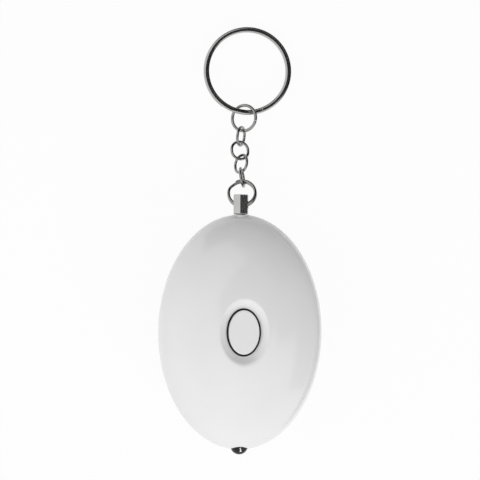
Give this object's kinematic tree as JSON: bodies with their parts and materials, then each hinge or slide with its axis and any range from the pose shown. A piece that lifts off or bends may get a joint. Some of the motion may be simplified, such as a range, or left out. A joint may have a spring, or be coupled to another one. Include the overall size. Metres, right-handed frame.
{
  "type": "personal safety alarm",
  "caption": "Pocket personal safety alarm: egg-shaped casing, push button, lamp, and a pull pin on a short key chain.",
  "frame": {"origin": "centre of the flat back that it lies on", "axes": "+Z out of the button's face, +Y from the lamp towards the key ring, +X to the right of the button"},
  "size_m": [0.0464, 0.1211, 0.0213],
  "materials": {
    "white_casing": "glossy moulded",
    "white_rear_casing": "glossy moulded",
    "white_button": "glossy moulded",
    "white_door": "glossy moulded",
    "pin_metal": "plated",
    "key_ring_metal": "plated",
    "ring_metal": "plated",
    "dark_lamp": "smoked, glossy",
    "screw_metal": "zinc plated",
    "board_green": "solder mask",
    "black_plastic": "moulded",
    "tinned_metal": "tinned",
    "cell_steel": "nickel plated",
    "brass_sheet": "rolled",
    "copper_wire": "enamelled",
    "white_ceramic": "fired",
    "gasket_rubber": "soft",
    "red_lead": "insulation",
    "black_lead": "insulation",
    "ferrite": "sintered",
    "bush_plastic": "moulded",
    "resistor_body": "moulded"
  },
  "bodies": {
    "casing": {"front_shell": "white_casing", "rear_shell": "white_rear_casing", "case_screws": "screw_metal", "circuit_board": "board_green", "board_screws": "screw_metal", "switch_body": "black_plastic", "piezo_disc": "brass_sheet", "piezo_ceramic": "white_ceramic", "piezo_gasket": "gasket_rubber", "piezo_wire_red": "red_lead", "piezo_wire_black": "black_lead", "boost_coil_core": "ferrite", "boost_coil_winding": "copper_wire", "capacitor": "black_plastic", "controller_blob": "black_plastic", "transistors": "black_plastic", "resistors": "resistor_body", "button_cells": "cell_steel", "positive_contact": "tinned_metal", "negative_contact": "tinned_metal", "led_lamp": "dark_lamp", "led_leads": "tinned_metal", "pin_bush": "bush_plastic", "contact_base": "black_plastic", "fixed_contact": "brass_sheet"},
    "button": {"push_button": "white_button", "switch_stem": "black_plastic"},
    "leaf_contact": {"moving_contact": "brass_sheet"},
    "pin": {"pull_pin": "pin_metal"},
    "small_ring": {"small_split_ring": "ring_metal"},
    "link_1": {"chain_link_1": "ring_metal"},
    "link_2": {"chain_link_2": "ring_metal"},
    "link_3": {"chain_link_3": "ring_metal"},
    "link_4": {"chain_link_4": "ring_metal"},
    "jump_ring": {"jump_ring": "ring_metal"},
    "key_ring": {"key_ring": "key_ring_metal"},
    "battery_cover": {"battery_door": "white_door", "door_screw": "screw_metal"}
  },
  "joints": [
    {"name": "button_press", "type": "slide", "parent": "casing", "child": "button", "axis": [0, 0, -1], "range_m": [0, 0.0005], "stiffness_N_per_m": 2500},
    {"name": "pin_pull", "type": "slide", "parent": "casing", "child": "pin", "axis": [0, 1, 0], "range_m": [0, 0.016]},
    {"name": "leaf_close", "type": "hinge", "parent": "casing", "child": "leaf_contact", "pos_m": [-0.00147, 0.013, 0.0105], "axis": [0, 0, -1], "range_deg": [0, 8.05]},
    {"name": "small_ring_swing", "type": "hinge", "parent": "pin", "child": "small_ring", "pos_m": [0, 0.036, 0.0105], "axis": [0.9763, 0, 0.2164], "range_deg": [-40, 80]},
    {"name": "link_1_swing", "type": "hinge", "parent": "small_ring", "child": "link_1", "pos_m": [0.00073, 0.04257, 0.00764], "axis": [-0.9794, -0.0063, -0.2019], "range_deg": [-45, 45]},
    {"name": "link_2_swing", "type": "hinge", "parent": "link_1", "child": "link_2", "pos_m": [0.00053, 0.0461, 0.00612], "axis": [-0.3115, 0.3572, 0.8806], "range_deg": [-45, 45]},
    {"name": "link_3_swing", "type": "hinge", "parent": "link_2", "child": "link_3", "pos_m": [0.00044, 0.04983, 0.00414], "axis": [0.5921, 0.4245, 0.685], "range_deg": [-45, 45]},
    {"name": "link_4_swing", "type": "hinge", "parent": "link_3", "child": "link_4", "pos_m": [0.00055, 0.05381, 0.00273], "axis": [-0.9844, 0.1052, 0.1411], "range_deg": [-45, 45]},
    {"name": "jump_ring_swing", "type": "hinge", "parent": "link_4", "child": "jump_ring", "pos_m": [0.00109, 0.058, 0.00244], "axis": [0.5042, -0.1111, -0.8564], "range_deg": [-45, 45]},
    {"name": "key_ring_swing", "type": "hinge", "parent": "jump_ring", "child": "key_ring", "pos_m": [0.00178, 0.06226, 0.00234], "axis": [0.9973, -0.0707, -0.0174], "range_deg": [-60, 60]},
    {"name": "battery_cover_off", "type": "slide", "parent": "casing", "child": "battery_cover", "axis": [0, 0, -1], "range_m": [0, 0.012]}
  ],
  "couplings": [
    {"joint": "leaf_close", "follows": "pin_pull", "rad_per_m": 8.75}
  ]
}
